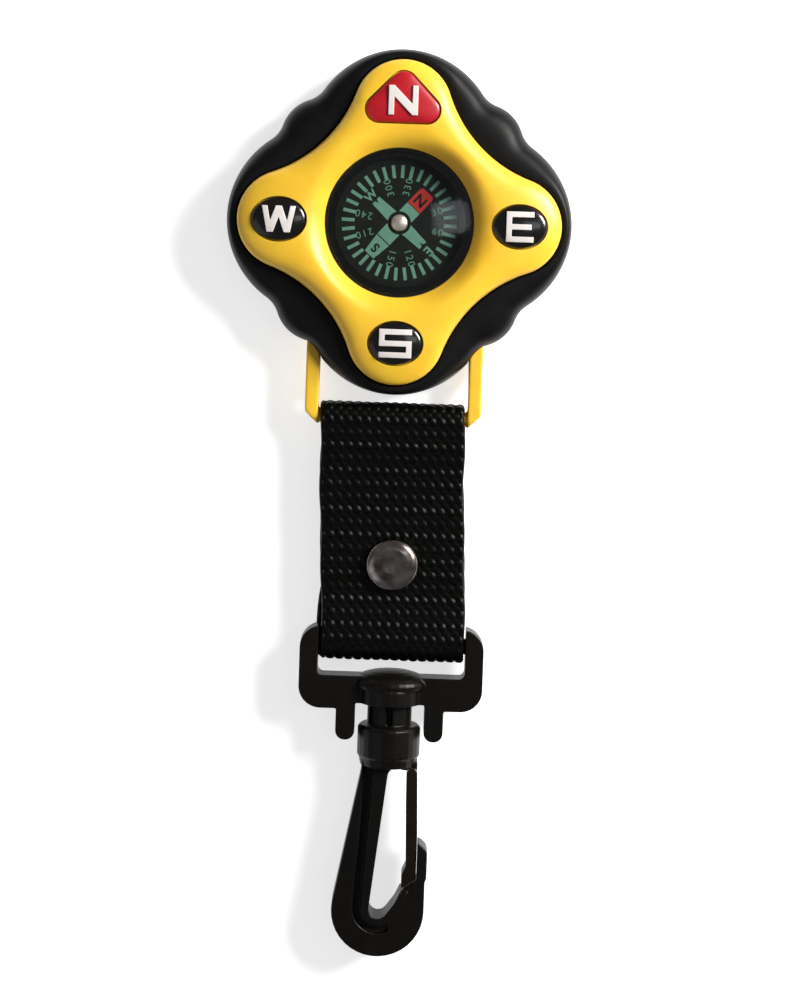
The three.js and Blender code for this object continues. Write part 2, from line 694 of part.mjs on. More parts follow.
function rivetPost() {
  const top = HARDWARE_Z - STACK - SEAT;
  const bottom = top - RIVET.flangeThick;
  const tip = HARDWARE_Z + STACK + SEAT + RIVET.capHeight - 0.9 - SEAT;
  const post = turnedZ(
    [[0, bottom], [RIVET.flange - 0.3, bottom], [RIVET.flange, bottom + 0.3], [RIVET.flange - 0.2, top],
      [RIVET.post, top], [RIVET.post, tip], [0, tip]],
    SIDES.medium,
  );
  return post.translate(strapShift(RIVET.y), RIVET.y, 0);
}

// ---------------------------------------------------------------- swivel frame

function roundedRect(left, bottom, right, top, radius) {
  const shape = new THREE.Shape();
  shape.moveTo(left + radius, bottom);
  shape.lineTo(right - radius, bottom);
  shape.absarc(right - radius, bottom + radius, radius, -Math.PI / 2, 0, false);
  shape.lineTo(right, top - radius);
  shape.absarc(right - radius, top - radius, radius, 0, Math.PI / 2, false);
  shape.lineTo(left + radius, top);
  shape.absarc(left + radius, top - radius, radius, Math.PI / 2, Math.PI, false);
  shape.lineTo(left, bottom + radius);
  shape.absarc(left + radius, bottom + radius, radius, Math.PI, 1.5 * Math.PI, false);
  return shape;
}

function swivelFrame() {
  const low = HARDWARE_Z - FRAME.thick / 2;
  const high = HARDWARE_Z + FRAME.thick / 2;
  const slotHalf = FRAME.half - FRAME.rail;
  const outline = roundedRect(-FRAME.half, FRAME.bottom, FRAME.half, FRAME.top, FRAME.corner);
  const plate = prism(outline, low, high, 5);
  const eyeShape = roundedRect(-slotHalf, FRAME_SLOT_BOTTOM, slotHalf, FRAME.top + 3, 1);
  const eyeHole = prism(eyeShape, low - 1, high + 1, 3);
  const bar = rodX(EYE.barRadius, 2 * slotHalf + 1, EYE.barY, HARDWARE_Z);
  const ears = [-1, 1].map((side) => {
    const [inner, outer] = [EAR.inner, EAR.outer].map((x) => side * x);
    const [left, right] = [Math.min(inner, outer), Math.max(inner, outer)];
    const ear = roundedRect(left, EAR.bottom, right, FRAME.bottom + 3, EAR.corner);
    return prism(ear, low, high, 4);
  });
  const barrel = turnedY(
    [[0, BOSS.bottom], [BOSS.radius, BOSS.bottom], [BOSS.radius, BOSS.seam], [0, BOSS.seam]],
    SIDES.medium,
  );
  const rise = arcPoints(0, 0, 1, 0, Math.PI / 2, 6).slice(0, -1);
  const dome = rise.map(([out, up]) => [BOSS.radius * out, BOSS.widest + (BOSS.apex - BOSS.widest) * up]);
  const foot = [[0, BOSS.seam], [BOSS.radius - CLEAR, BOSS.seam]];
  const cap = turnedY([...foot, ...dome, [0, BOSS.apex]], SIDES.medium);
  const boss = join(barrel, cap.scale([BOSS.shoulder / BOSS.radius, 1, 1]));
  const belowBoss = block(2 * EAR.inner, BOSS.bottom - FRAME.bottom + 1, 2 * BOSS.radius, 0,
    (BOSS.bottom + FRAME.bottom - 1) / 2, HARDWARE_Z);
  const neck = STEM.radius + CLEAR;
  const room = STEM.head + CLEAR;
  const roomFoot = BOSS.seam - CLEAR;
  const roomTop = BOSS.seam + STEM.headLength + CLEAR;
  const chamber = turnedY(
    [[0, BOSS.bottom - 1], [neck, BOSS.bottom - 1], [neck, roomFoot], [room, roomFoot],
      [room, roomTop - 1], [neck, roomTop], [0, roomTop]],
    SIDES.medium,
  );
  const body = join(cut(join(plate, ...ears), eyeHole, belowBoss), bar, boss);
  return cut(body, chamber);
}

// ---------------------------------------------------------------- hook and gate

// Edge of the hook's opening from its top, down the shank, round the throat and up to the gate's toe,
// moved into the plastic by `top` at the shank's top and by `foot` from the throat on.
function openingEdge(top, foot) {
  const throatEnd = Math.PI * 1.82;
  const toe = GATE.inner - 0.2;
  return [
    ...arcPoints(OPENING_TOP.x, OPENING_TOP.y, OPENING_TOP.radius + top, Math.PI / 2, Math.PI * 0.98, 5),
    ...arcPoints(THROAT.x, THROAT.y, THROAT.radius + foot, Math.PI, throatEnd, 7),
    [toe - 0.9 + foot, GATE_TIP.low - 2.5 - foot / 2],
    [toe + foot, GATE_TIP.low - 0.5],
  ];
}

// Line of the groove that runs down the shank and under the throat.
function grooveLine() {
  return [
    [-3.42, COLLAR.bottom + 1],
    [-3.46, -102],
    [-3.76, -108.8],
    [-4.3, -115],
    ...arcPoints(THROAT.x, THROAT.y, THROAT.radius + 2, Math.PI, Math.PI * 1.6, 8),
  ];
}

function hookShape() {
  const left = -4.6; // outer side of the shank where it leaves the collar
  const right = BOWL.x + BOWL.radius;
  const bowlStart = Math.PI * 0.941; // bearing at which the shank runs into the bowl
  const gateSeat = GATE.outer + SEAT;
  const lug = 5.2; // right side of the seat that holds the gate's root
  const shape = new THREE.Shape();
  shape.moveTo(left, COLLAR.bottom + 1);
  shape.lineTo(left, COLLAR.bottom - 0.7);
  shape.absarc(BOWL.x, BOWL.y, BOWL.radius, bowlStart, 2 * Math.PI, false);
  shape.lineTo(right, NOSE.foot);
  shape.lineTo(NOSE.outer, NOSE.foot + 0.7);
  shape.lineTo(NOSE.outer, NOSE.top - 2);
  shape.quadraticCurveTo(NOSE.outer, NOSE.top - 0.9, gateSeat, NOSE.top);
  shape.lineTo(gateSeat, GATE_TIP.high - CLEAR);
  openingEdge(0, 0).toReversed().forEach(([x, y]) => shape.lineTo(x, y));
  shape.absarc(OPENING_TOP.x, OPENING_TOP.y, OPENING_TOP.radius, Math.PI / 2, Math.PI / 4, true);
  shape.lineTo(lug, GATE.rootY + GATE.knuckle / 2);
  shape.lineTo(lug, COLLAR.bottom + 1);
  return shape;
}

// The raised rim round the opening, from the shank to the gate's toe.
function hookBead() {
  return shapeFrom([...openingEdge(0, 0), ...openingEdge(BEAD.top, BEAD.foot).toReversed()]);
}

function hookBody() {
  const [low, high] = [HARDWARE_Z - HOOK_THICK / 2, HARDWARE_Z + HOOK_THICK / 2];
  const plate = prism(hookShape(), low, high, 10);
  const line = grooveLine();
  const [endX, endY] = line[line.length - 1];
  const grooves = [[low - 1, low + GROOVE.depth], [high - GROOVE.depth, high + 1]].map(([bottom, top]) => {
    const run = prism(shapeFrom(ribbon(line, GROOVE.width)), bottom, top);
    return join(run, rodZ(GROOVE.width / 2, bottom, top, endX, endY, SIDES.small));
  });
  const bead = prism(hookBead(), HARDWARE_Z - BEAD.thick / 2, HARDWARE_Z + BEAD.thick / 2);
  const snapTop = BOSS.seam + STEM.headLength;
  const stem = turnedY(
    [[0, COLLAR.bottom], [COLLAR.radius - 0.6, COLLAR.bottom], [COLLAR.radius - 0.3, COLLAR.ledge - 0.3],
      [COLLAR.radius, COLLAR.ledge], [COLLAR.radius, COLLAR.top - 0.5], [COLLAR.radius - 0.5, COLLAR.top],
      [STEM.radius, COLLAR.top], [STEM.radius, BOSS.seam], [STEM.head, BOSS.seam],
      [STEM.head, BOSS.seam + 0.5], [STEM.radius - 0.2, snapTop], [0, snapTop]],
    SIDES.medium,
  );
  const slotFoot = COLLAR.top + CLEAR;
  const slotLength = snapTop + 1 - slotFoot;
  const slots = [-1, 1].map((side) => {
    const z = HARDWARE_Z + side * (STEM.head + 1 - STEM.slotDepth / 2);
    return block(STEM.slot, slotLength, STEM.slotDepth + 2, 0, slotFoot + slotLength / 2, z);
  });
  const socket = rodZ(GATE.knuckle + CLEAR, 0, 2 * HARDWARE_Z, GATE.rootX, GATE.rootY, SIDES.small);
  return cut(join(cut(stem, ...slots), cut(plate, ...grooves), bead), socket);
}

function gateTongue() {
  const left = GATE.rootX - GATE.knuckle;
  const shape = new THREE.Shape();
  shape.moveTo(left, GATE.rootY);
  shape.quadraticCurveTo(left, GATE.rootY - 5, GATE.inner + 0.7, GATE_TIP.heel);
  shape.lineTo(GATE.inner, GATE_TIP.toe);
  shape.lineTo(GATE.inner, GATE_TIP.low);
  shape.lineTo(GATE.outer, GATE_TIP.high);
  shape.lineTo(GATE.outer, NOSE.top + 1);
  shape.lineTo(GATE.rootX + GATE.knuckle, GATE.rootY);
  shape.absarc(GATE.rootX, GATE.rootY, GATE.knuckle, 0, Math.PI, false);
  return prism(shape, HARDWARE_Z - GATE.thick / 2, HARDWARE_Z + GATE.thick / 2, 6);
}

// ---------------------------------------------------------------- assembly

const assembly = new THREE.Group();

function place(parent, name, solid, finish) {
  const mesh = new THREE.Mesh(toGeometry(solid), finish);
  mesh.name = name;
  parent.add(mesh);
}

place(assembly, "back_cover", backCover(), yellowPlastic());
place(assembly, "bumper_grip", bumperGrip(), blackRubber());
place(assembly, "front_bezel", frontBezel(), yellowPlastic());
for (const { name, bearing } of CARDINALS) {
  place(assembly, `body_screw_${name}`, bodyScrew(bearing), steel());
  place(assembly, `badge_${name}`, badge(name, bearing), name === "north" ? redPlastic() : glossBlack());
  place(assembly, `letter_${name[0]}`, letter(name, bearing), whiteInk());
}
place(assembly, "capsule_base", capsuleBase(), glossBlack());
place(assembly, "capsule_dome", capsuleDome(), clearPlastic());
place(assembly, "pivot_needle", pivotNeedle(), steel());

const dial = new THREE.Group();
dial.rotation.z = DIAL_HEADING;
assembly.add(dial);
place(dial, "dial_card", dialCard(), glossBlack());
place(dial, "card_magnet", cardMagnet(), dullSteel());
place(dial, "jewel_cup", jewelCup(), steel());

place(assembly, "webbing_strap", webbingStrap(), blackWeb());
place(assembly, "rivet_cap", rivetCap(), steel());
place(assembly, "rivet_post", rivetPost(), steel());

const hardware = new THREE.Group();
hardware.position.x = strapShift(EYE.barY);
assembly.add(hardware);
place(hardware, "swivel_frame", swivelFrame(), blackPlastic());
place(hardware, "hook_body", hookBody(), blackPlastic());
place(hardware, "gate_tongue", gateTongue(), blackPlastic());

export default assembly;
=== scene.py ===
"""Looks of the clip-on fob compass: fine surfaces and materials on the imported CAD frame."""
import json
import math

import bmesh
import bpy
from mathutils import Matrix, Vector


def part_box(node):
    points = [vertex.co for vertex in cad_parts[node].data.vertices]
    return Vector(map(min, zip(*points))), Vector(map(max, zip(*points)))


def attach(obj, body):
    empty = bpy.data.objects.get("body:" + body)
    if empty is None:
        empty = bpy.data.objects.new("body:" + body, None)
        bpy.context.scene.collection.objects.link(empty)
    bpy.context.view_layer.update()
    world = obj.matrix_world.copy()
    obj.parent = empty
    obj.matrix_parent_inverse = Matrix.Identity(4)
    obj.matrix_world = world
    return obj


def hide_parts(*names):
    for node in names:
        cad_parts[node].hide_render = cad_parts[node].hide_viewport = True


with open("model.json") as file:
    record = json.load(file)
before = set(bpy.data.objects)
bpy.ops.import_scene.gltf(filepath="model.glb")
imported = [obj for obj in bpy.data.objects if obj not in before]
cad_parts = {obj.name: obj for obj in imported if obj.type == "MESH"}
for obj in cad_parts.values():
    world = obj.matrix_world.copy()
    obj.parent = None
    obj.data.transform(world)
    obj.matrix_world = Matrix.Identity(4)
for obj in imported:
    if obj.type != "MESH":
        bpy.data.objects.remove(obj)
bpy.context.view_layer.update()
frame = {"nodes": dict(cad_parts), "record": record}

# ---------------------------------------------------------------- places and sizes, in millimetres

MM = 0.001


def box_mm(node):
    low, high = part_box(node)
    return low / MM, high / MM


def joint_point(name):
    joint = next(j for j in frame["record"]["behaviour"]["joints"] if j["name"] == name)
    return Vector(joint["pos_m"]) / MM


BEZEL_HIGH = box_mm("front_bezel")[1]
GRIP_LOW, GRIP_HIGH = box_mm("bumper_grip")
CARD_LOW, CARD_HIGH = box_mm("dial_card")
LENS_LOW, LENS_HIGH = box_mm("capsule_dome")
CUP_LOW, CUP_HIGH = box_mm("jewel_cup")
CAP_LOW, CAP_HIGH = box_mm("rivet_cap")
CASE_BAR = joint_point("strap_swing")
EYE_BAR = joint_point("frame_swing")
HOOK_Z = CASE_BAR.z

DIAL_TURN = math.radians(-42)  # the way the card's north points, from the north badge
CLEAR = 0.3

# Outlines of the case, as in the CAD: lobe, dip and diagonal bulge arcs.
GRIP_TIP = GRIP_HIGH.x
GRIP_LOBE, GRIP_DIP, GRIP_BULGE, GRIP_CORNER = 16.5, 5, 7, 26.75
GRIP_WALL = 5
BEZEL_TIP = BEZEL_HIGH.x
BEZEL_LOBE, BEZEL_WAIST = 8.4, 18.95

BADGE_AWAY = (box_mm("badge_east")[0].x + box_mm("badge_east")[1].x) / 2
NORTH_MIDDLE = 20.7  # where the triangle's dome is centred
TRIANGLE_CORNER = 2.2
BADGE_SHOULDER_Z = 13.2  # where the pads' domes start
BADGE_DOME = 0.72
CARDINALS = {"north": math.pi / 2, "east": 0.0, "south": -math.pi / 2, "west": math.pi}

# ---------------------------------------------------------------- camera, lights, floor

CAMERA_X = 0.19
CAMERA_HEIGHT = 427
CAMERA_TILT = math.radians(4.09)  # the view leans towards the hook
ROLL = math.radians(1.95)
FOCAL_RATIO = 2.43  # focal length over the height of the frame
FRAME_SHIFT = -0.1034

MIDDLE = (0, -45, 5)  # of the object
LIGHTS = [  # name, place, size, watts, colour, target
    ("key_light", (400, 190, 330), (200, 200), 5.4, (1.0, 0.97, 0.93), MIDDLE),
    ("fill_light", (-380, -260, 420), (420, 420), 0.22, (0.93, 0.96, 1.0), MIDDLE),
    ("window_glow", (136, 20, 430), (60, 150), 0.06, (0.9, 0.96, 1.0), (10, 0, 11)),
]
WORLD_COLOR = (0.95, 0.97, 1.0, 1.0)
WORLD_STRENGTH = 0.12
FLOOR_HALF = 3000
FLOOR_GAP = 0.02  # between the case's back face and the floor


def add_camera():
    data = bpy.data.cameras.new("camera")
    data.lens = data.sensor_width * FOCAL_RATIO
    data.shift_y = FRAME_SHIFT
    camera = bpy.data.objects.new("camera", data)
    aim = Matrix.Rotation(-CAMERA_TILT, 4, "X") @ Matrix.Rotation(ROLL, 4, "Z")
    camera.matrix_world = Matrix.Translation(Vector((CAMERA_X, 0, CAMERA_HEIGHT)) * MM) @ aim
    bpy.context.collection.objects.link(camera)
    bpy.context.scene.camera = camera


def add_area(name, place, size, watts, color, target):
    data = bpy.data.lights.new(name, "AREA")
    data.shape = "RECTANGLE"
    data.size = size[0] * MM
    data.size_y = size[1] * MM
    data.energy = watts
    data.color = color
    light = bpy.data.objects.new(name, data)
    light.location = Vector(place) * MM
    aim = Vector(target) - Vector(place)
    light.rotation_euler = aim.to_track_quat("-Z", "Y").to_euler()
    bpy.context.collection.objects.link(light)


def add_stage():
    for light in LIGHTS:
        add_area(*light)
    world = bpy.data.worlds.new("studio")
    world.use_nodes = True
    background = world.node_tree.nodes["Background"]
    background.inputs["Color"].default_value = WORLD_COLOR
    background.inputs["Strength"].default_value = WORLD_STRENGTH
    bpy.context.scene.world = world
    bpy.context.scene.view_settings.view_transform = "Standard"
    mesh = bpy.data.meshes.new("floor")
    half = FLOOR_HALF * MM
    corners = [(-half, -half, 0), (half, -half, 0), (half, half, 0), (-half, half, 0)]
    mesh.from_pydata(corners, [], [(0, 1, 2, 3)])
    floor = bpy.data.objects.new("floor", mesh)
    floor.location.z = (GRIP_LOW.z - FLOOR_GAP) * MM
    paper = surface("floor_paper", (0.84, 0.84, 0.84), (0.88, 0.88, 0.88), 0.8, patch=60,
                    emission_color=(1, 1, 1, 1), emission_strength=0.68)
    floor.data.materials.append(paper)
    bpy.context.collection.objects.link(floor)


# ---------------------------------------------------------------- materials

NOISE_SPAN = (0.3, 0.7)  # part of a noise's range that the colours and the roughness are spread over
ROUGH_SPREAD = 0.15
GRAIN_DEPTH = 0.05


def surface(name, dark, light, rough, patch=4.0, grain=0.25, bump=0.1, **sockets):
    """Principled surface: soft colour patches, uneven roughness and a fine grain, sizes in mm."""
    made = bpy.data.materials.new(name)
    made.use_nodes = True
    nodes = made.node_tree.nodes
    links = made.node_tree.links
    shader = nodes["Principled BSDF"]
    place = nodes.new("ShaderNodeTexCoord")

    patches = nodes.new("ShaderNodeTexNoise")
    patches.inputs["Scale"].default_value = 1 / (patch * MM)
    patches.inputs["Detail"].default_value = 3
    ramp = nodes.new("ShaderNodeValToRGB")
    for element, position, color in zip(ramp.color_ramp.elements, NOISE_SPAN, (dark, light)):
        element.position = position
        element.color = (*color, 1)
    links.new(place.outputs["Object"], patches.inputs["Vector"])
    links.new(patches.outputs["Fac"], ramp.inputs["Fac"])
    links.new(ramp.outputs["Color"], shader.inputs["Base Color"])

    fine = nodes.new("ShaderNodeTexNoise")
    fine.inputs["Scale"].default_value = 1 / (grain * MM)
    fine.inputs["Detail"].default_value = 4
    spread = nodes.new("ShaderNodeMapRange")
    spread.inputs["From Min"].default_value = NOISE_SPAN[0]
    spread.inputs["From Max"].default_value = NOISE_SPAN[1]
    spread.inputs["To Min"].default_value = rough * (1 - ROUGH_SPREAD)
    spread.inputs["To Max"].default_value = min(1.0, rough * (1 + ROUGH_SPREAD))
    links.new(place.outputs["Object"], fine.inputs["Vector"])
    links.new(fine.outputs["Fac"], spread.inputs["Value"])
    links.new(spread.outputs["Result"], shader.inputs["Roughness"])

    relief = nodes.new("ShaderNodeBump")
    relief.inputs["Strength"].default_value = bump
    relief.inputs["Distance"].default_value = GRAIN_DEPTH * MM
    links.new(fine.outputs["Fac"], relief.inputs["Height"])
    links.new(relief.outputs["Normal"], shader.inputs["Normal"])
    for socket, value in sockets.items():
        shader.inputs[socket.replace("_", " ").title().replace("Ior", "IOR")].default_value = value
    return made


def clear_lens():
    """Thin clear shell: see-through, with the reflections of its gloss on top."""
    made = bpy.data.materials.new("clear_lens")
    made.use_nodes = True
    nodes = made.node_tree.nodes
    links = made.node_tree.links
    nodes.remove(nodes["Principled BSDF"])
    clear = nodes.new("ShaderNodeBsdfTransparent")
    gloss = nodes.new("ShaderNodeBsdfGlossy")
    gloss.inputs["Roughness"].default_value = 0.06
    place = nodes.new("ShaderNodeTexCoord")
    haze = nodes.new("ShaderNodeTexNoise")
    haze.inputs["Scale"].default_value = 1 / (5 * MM)
    wave = nodes.new("ShaderNodeBump")
    wave.inputs["Strength"].default_value = 0.03
    wave.inputs["Distance"].default_value = 0.1 * MM
    slant = nodes.new("ShaderNodeLayerWeight")
    steepen = nodes.new("ShaderNodeMath")
    steepen.operation = "POWER"
    steepen.inputs[1].default_value = 5
    mirror = nodes.new("ShaderNodeMapRange")
    mirror.inputs["To Min"].default_value = 0.02
    mirror.inputs["To Max"].default_value = 0.95
    blend = nodes.new("ShaderNodeMixShader")
    links.new(place.outputs["Object"], haze.inputs["Vector"])
    links.new(haze.outputs["Fac"], wave.inputs["Height"])
    links.new(wave.outputs["Normal"], gloss.inputs["Normal"])
    links.new(slant.outputs["Facing"], steepen.inputs[0])
    links.new(steepen.outputs["Value"], mirror.inputs["Value"])
    links.new(mirror.outputs["Result"], blend.inputs["Fac"])
    links.new(clear.outputs["BSDF"], blend.inputs[1])
    links.new(gloss.outputs["BSDF"], blend.inputs[2])
    links.new(blend.outputs["Shader"], nodes["Material Output"].inputs["Surface"])
    return made


def make_finishes():
    """Each finish: name, dark and light colour, roughness, patch, grain and bump, then its own sockets."""
    return {
        "yellow": surface("yellow_plastic", (0.88, 0.53, 0.03), (0.95, 0.60, 0.04), 0.4, 6, 0.3, 0.05,
                          subsurface_weight=0.3, subsurface_scale=0.0010,
                          subsurface_radius=(1.0, 0.4, 0.08), coat_weight=0.12, coat_roughness=0.3),
        "rubber": surface("black_rubber", (0.003, 0.003, 0.0033), (0.005, 0.005, 0.0055), 0.42, 3, 0.12,
                          0.25, specular_ior_level=0.16),
        "gloss": surface("gloss_black", (0.003, 0.0025, 0.0025), (0.005, 0.0045, 0.004), 0.2, 3, 0.5, 0.02,
                         coat_weight=0.4, coat_roughness=0.06),
        "red": surface("red_plastic", (0.40, 0.005, 0.012), (0.48, 0.008, 0.018), 0.34, 3, 0.3, 0.04,
                       coat_weight=0.15, coat_roughness=0.2),
        "white": surface("white_ink", (0.70, 0.66, 0.645), (0.78, 0.74, 0.725), 0.4, 1.5, 0.2),
        "card": surface("card_black", (0.004, 0.006, 0.0045), (0.007, 0.009, 0.008), 0.5, 2, 0.2,
                        specular_ior_level=0.12),
        "green": surface("print_green", (0.084, 0.207, 0.154), (0.106, 0.25, 0.187), 0.6, 0.6, 0.1,
                         specular_ior_level=0.25),
        "green_thin": surface("print_green_thin", (0.07, 0.18, 0.13), (0.09, 0.22, 0.16), 0.6, 0.6, 0.1,
                              specular_ior_level=0.25),
        "print_red": surface("print_red", (0.28, 0.016, 0.012), (0.33, 0.022, 0.018), 0.6, 0.6, 0.1,
                             specular_ior_level=0.25),
        "steel": surface("bright_steel", (0.42, 0.38, 0.36), (0.55, 0.51, 0.49), 0.22, 2, 0.1, 0.05,
                         metallic=1.0),
        "chrome": surface("dark_chrome", (0.13, 0.095, 0.085), (0.52, 0.47, 0.45), 0.2, 2.4, 0.1, 0.05,
                          metallic=1.0),
        "jewel": surface("jewel_silver", (0.68, 0.62, 0.55), (0.80, 0.74, 0.67), 0.34, 1, 0.1, 0.05,
                         metallic=0.8),
        "magnet": surface("dull_magnet", (0.10, 0.10, 0.11), (0.16, 0.16, 0.17), 0.5, 1, 0.1, 0.2,
                          metallic=1.0),
        "acetal": surface("black_plastic", (0.003, 0.0025, 0.002), (0.005, 0.004, 0.003), 0.36, 5, 0.35,
                          specular_ior_level=0.2),
        "gate": surface("warm_plastic", (0.006, 0.003, 0.0015), (0.012, 0.006, 0.003), 0.36, 5, 0.35,
                        specular_ior_level=0.2),
        "web": surface("black_web", (0.0007, 0.0007, 0.0006), (0.0024, 0.0024, 0.0020), 0.31, 0.9, 0.1, 0.55,
                       specular_ior_level=0.12),
        "lens": clear_lens(),
    }


# ---------------------------------------------------------------- mesh helpers

def add_object(name, mesh):
    made = bpy.data.objects.new(name, mesh)
    bpy.context.collection.objects.link(made)
    return made


def mesh_object(name, points, faces, sharp=35):
    mesh = bpy.data.meshes.new(name)
    mesh.from_pydata([Vector(p) * MM for p in points], [], faces)
    mesh.validate()
    finish_mesh(mesh, sharp)
    return add_object(name, mesh)


def finish_mesh(mesh, sharp):
    work = bmesh.new()
    work.from_mesh(mesh)
    bmesh.ops.recalc_face_normals(work, faces=work.faces)
    work.to_mesh(mesh)
    work.free()
    mesh.shade_smooth()
    mesh.set_sharp_from_angle(angle=math.radians(sharp))


def apply_modifiers(thing):
    """Bakes the modifiers of an object into a mesh of its own."""
    bpy.context.view_layer.update()
    ready = thing.evaluated_get(bpy.context.evaluated_depsgraph_get())
    mesh = bpy.data.meshes.new_from_object(ready)
    thing.modifiers.clear()
    old = thing.data
    thing.data = mesh
    bpy.data.meshes.remove(old)


def soften(thing, voxel, rounds, sharp=180):
    """Merges the object's shells into one skin and rounds its edges; voxel in mm."""
    remesh = thing.modifiers.new("skin", "REMESH")
    remesh.mode = "VOXEL"
    remesh.voxel_size = voxel * MM
    smooth = thing.modifiers.new("rounding", "SMOOTH")
    smooth.factor = 0.5
    smooth.iterations = rounds
    apply_modifiers(thing)
    thing.data.shade_smooth()
    if sharp < 180:
        thing.data.set_sharp_from_angle(angle=math.radians(sharp))


def softened_copy(node, voxel, rounds):
    """A rounded skin over a CAD node's solid."""
    made = add_object(node + "_skin", frame["nodes"][node].data.copy())
    made.data.materials.clear()
    soften(made, voxel, rounds)
    return made


def dress_skin(node, finish, body, slot_name, voxel, rounds):
    """Shows a CAD node as a rounded skin over its own solid."""
    dress(softened_copy(node, voxel, rounds), finish, body, slot_name, node)


def carve(thing, tools):
    """Cuts the tool objects out of the piece and removes them."""
    for tool in tools:
        cutter = thing.modifiers.new("cut", "BOOLEAN")
        cutter.operation = "DIFFERENCE"
        cutter.solver = "EXACT"
        cutter.object = tool
    apply_modifiers(thing)
    for tool in tools:
        bpy.data.objects.remove(tool)


def dress(piece, finish, body, slot_name, *nodes):
    piece.data.materials.clear()
    piece.data.materials.append(FINISH[finish])
    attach(piece, body)
    if nodes:
        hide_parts(*nodes)
    return piece


def lobed_ring(name, section, steps):
    """A ring round Z whose closed [radius, z] section follows the angle."""
    points, faces = [], []
    for i in range(steps):
        angle = 2 * math.pi * i / steps
        loop = section(angle)
        points += [(r * math.cos(angle), r * math.sin(angle), z) for r, z in loop]
    count = len(loop)
    for i in range(steps):
        here, there = i * count, (i + 1) % steps * count
        for j in range(count):
            after = (j + 1) % count
            faces.append((here + j, there + j, there + after, here + after))
    return mesh_object(name, points, faces)


def turned(name, profile, steps, center=(0, 0), sharp=35):
    """A turned piece round a vertical axis, from [radius, z] points that start and end on the axis."""
    points, faces = [(center[0], center[1], profile[0][1])], []
    inner = profile[1:-1]
    for i in range(steps):
        angle = 2 * math.pi * i / steps
        points += [(center[0] + r * math.cos(angle), center[1] + r * math.sin(angle), z) for r, z in inner]
    points.append((center[0], center[1], profile[-1][1]))
    count = len(inner)
    last = len(points) - 1
    for i in range(steps):
        here, there = 1 + i * count, 1 + (i + 1) % steps * count
        faces.append((0, there, here))
        faces.append((last, here + count - 1, there + count - 1))
        for j in range(count - 1):
            faces.append((here + j, there + j, there + j + 1, here + j + 1))
    return mesh_object(name, points, faces, sharp)


def bezier(a, b, c, steps):
    """Points of a quadratic curve from a towards b, ending at c, without its first point."""
    points = []
    for i in range(1, steps + 1):
        t = i / steps
        points.append(tuple((1 - t) ** 2 * p + 2 * t * (1 - t) * q + t ** 2 * r for p, q, r in zip(a, b, c)))
    return points


def prism_data(outline, bottom, top):
    """Points and faces of an upright prism over a flat outline."""
    count = len(outline)
    points = [(x, y, bottom) for x, y in outline] + [(x, y, top) for x, y in outline]
    faces = [tuple(range(count - 1, -1, -1)), tuple(range(count, 2 * count))]
    for i in range(count):
        after = (i + 1) % count
        faces.append((i, after, count + after, count + i))
    return points, faces


def prism(name, outline, bottom, top, sharp=35):
    return mesh_object(name, *prism_data(outline, bottom, top), sharp)


def joined_prisms(name, outlines, bottom, top):
    points, faces = [], []
    for outline in outlines:
        more, sides = prism_data(outline, bottom, top)
        faces += [tuple(len(points) + k for k in side) for side in sides]
        points += more
    return mesh_object(name, points, faces)


# ---------------------------------------------------------------- outlines of the case

def ray_to_circle(angle, away, bearing, radius, side):
    off = bearing - angle
    return away * math.cos(off) + side * math.sqrt(radius ** 2 - (away * math.sin(off)) ** 2)


def fold_angle(angle):
    quarter = math.pi / 2
    return abs(angle - quarter * round(angle / quarter))


def grip_arcs():
    """The three arcs of an eighth of the grip's outline, and the angles where they meet."""
    lobe_at = Vector((GRIP_TIP - GRIP_LOBE, 0))
    away = GRIP_CORNER - GRIP_BULGE
    bulge_at = Vector((away, away)) * math.sqrt(0.5)
    to_lobe, to_bulge = GRIP_LOBE + GRIP_DIP, GRIP_BULGE + GRIP_DIP
    between = bulge_at - lobe_at
    apart = between.length
    along = (to_lobe ** 2 - to_bulge ** 2 + apart ** 2) / (2 * apart)
    across = math.sqrt(to_lobe ** 2 - along ** 2)
    between.normalize()
    dip_at = lobe_at + between * along + Vector((between.y, -between.x)) * across
    first = lobe_at.lerp(dip_at, GRIP_LOBE / to_lobe)
    second = bulge_at.lerp(dip_at, GRIP_BULGE / to_bulge)
    return lobe_at, dip_at, away, math.atan2(first.y, first.x), math.atan2(second.y, second.x)


LOBE_AT, DIP_AT, BULGE_AWAY, LOBE_END, BULGE_START = grip_arcs()


def grip_radius(angle):
    local = fold_angle(angle)
    if local <= LOBE_END:
        return ray_to_circle(local, LOBE_AT.length, 0, GRIP_LOBE, 1)
    if local < BULGE_START:
        return ray_to_circle(local, DIP_AT.length, math.atan2(DIP_AT.y, DIP_AT.x), GRIP_DIP, -1)
    return ray_to_circle(local, BULGE_AWAY, math.pi / 4, GRIP_BULGE, 1)


def bezel_radius(angle, grow=0.0):
    lobe_away = BEZEL_TIP - BEZEL_LOBE
    top = lobe_away ** 2 + BEZEL_WAIST ** 2 - BEZEL_LOBE ** 2 - math.sqrt(2) * lobe_away * BEZEL_WAIST
    hollow = top / (2 * BEZEL_LOBE + math.sqrt(2) * lobe_away - 2 * BEZEL_WAIST)
    away = BEZEL_WAIST + hollow
    lobe_at = Vector((lobe_away, 0))
    meet = lobe_at.lerp(Vector((away, away)) * math.sqrt(0.5), BEZEL_LOBE / (BEZEL_LOBE + hollow))
    local = fold_angle(angle)
    if local <= math.atan2(meet.y, meet.x):
        return ray_to_circle(local, lobe_away, 0, BEZEL_LOBE + grow, 1)
    return ray_to_circle(local, away, math.pi / 4, hollow - grow, -1)


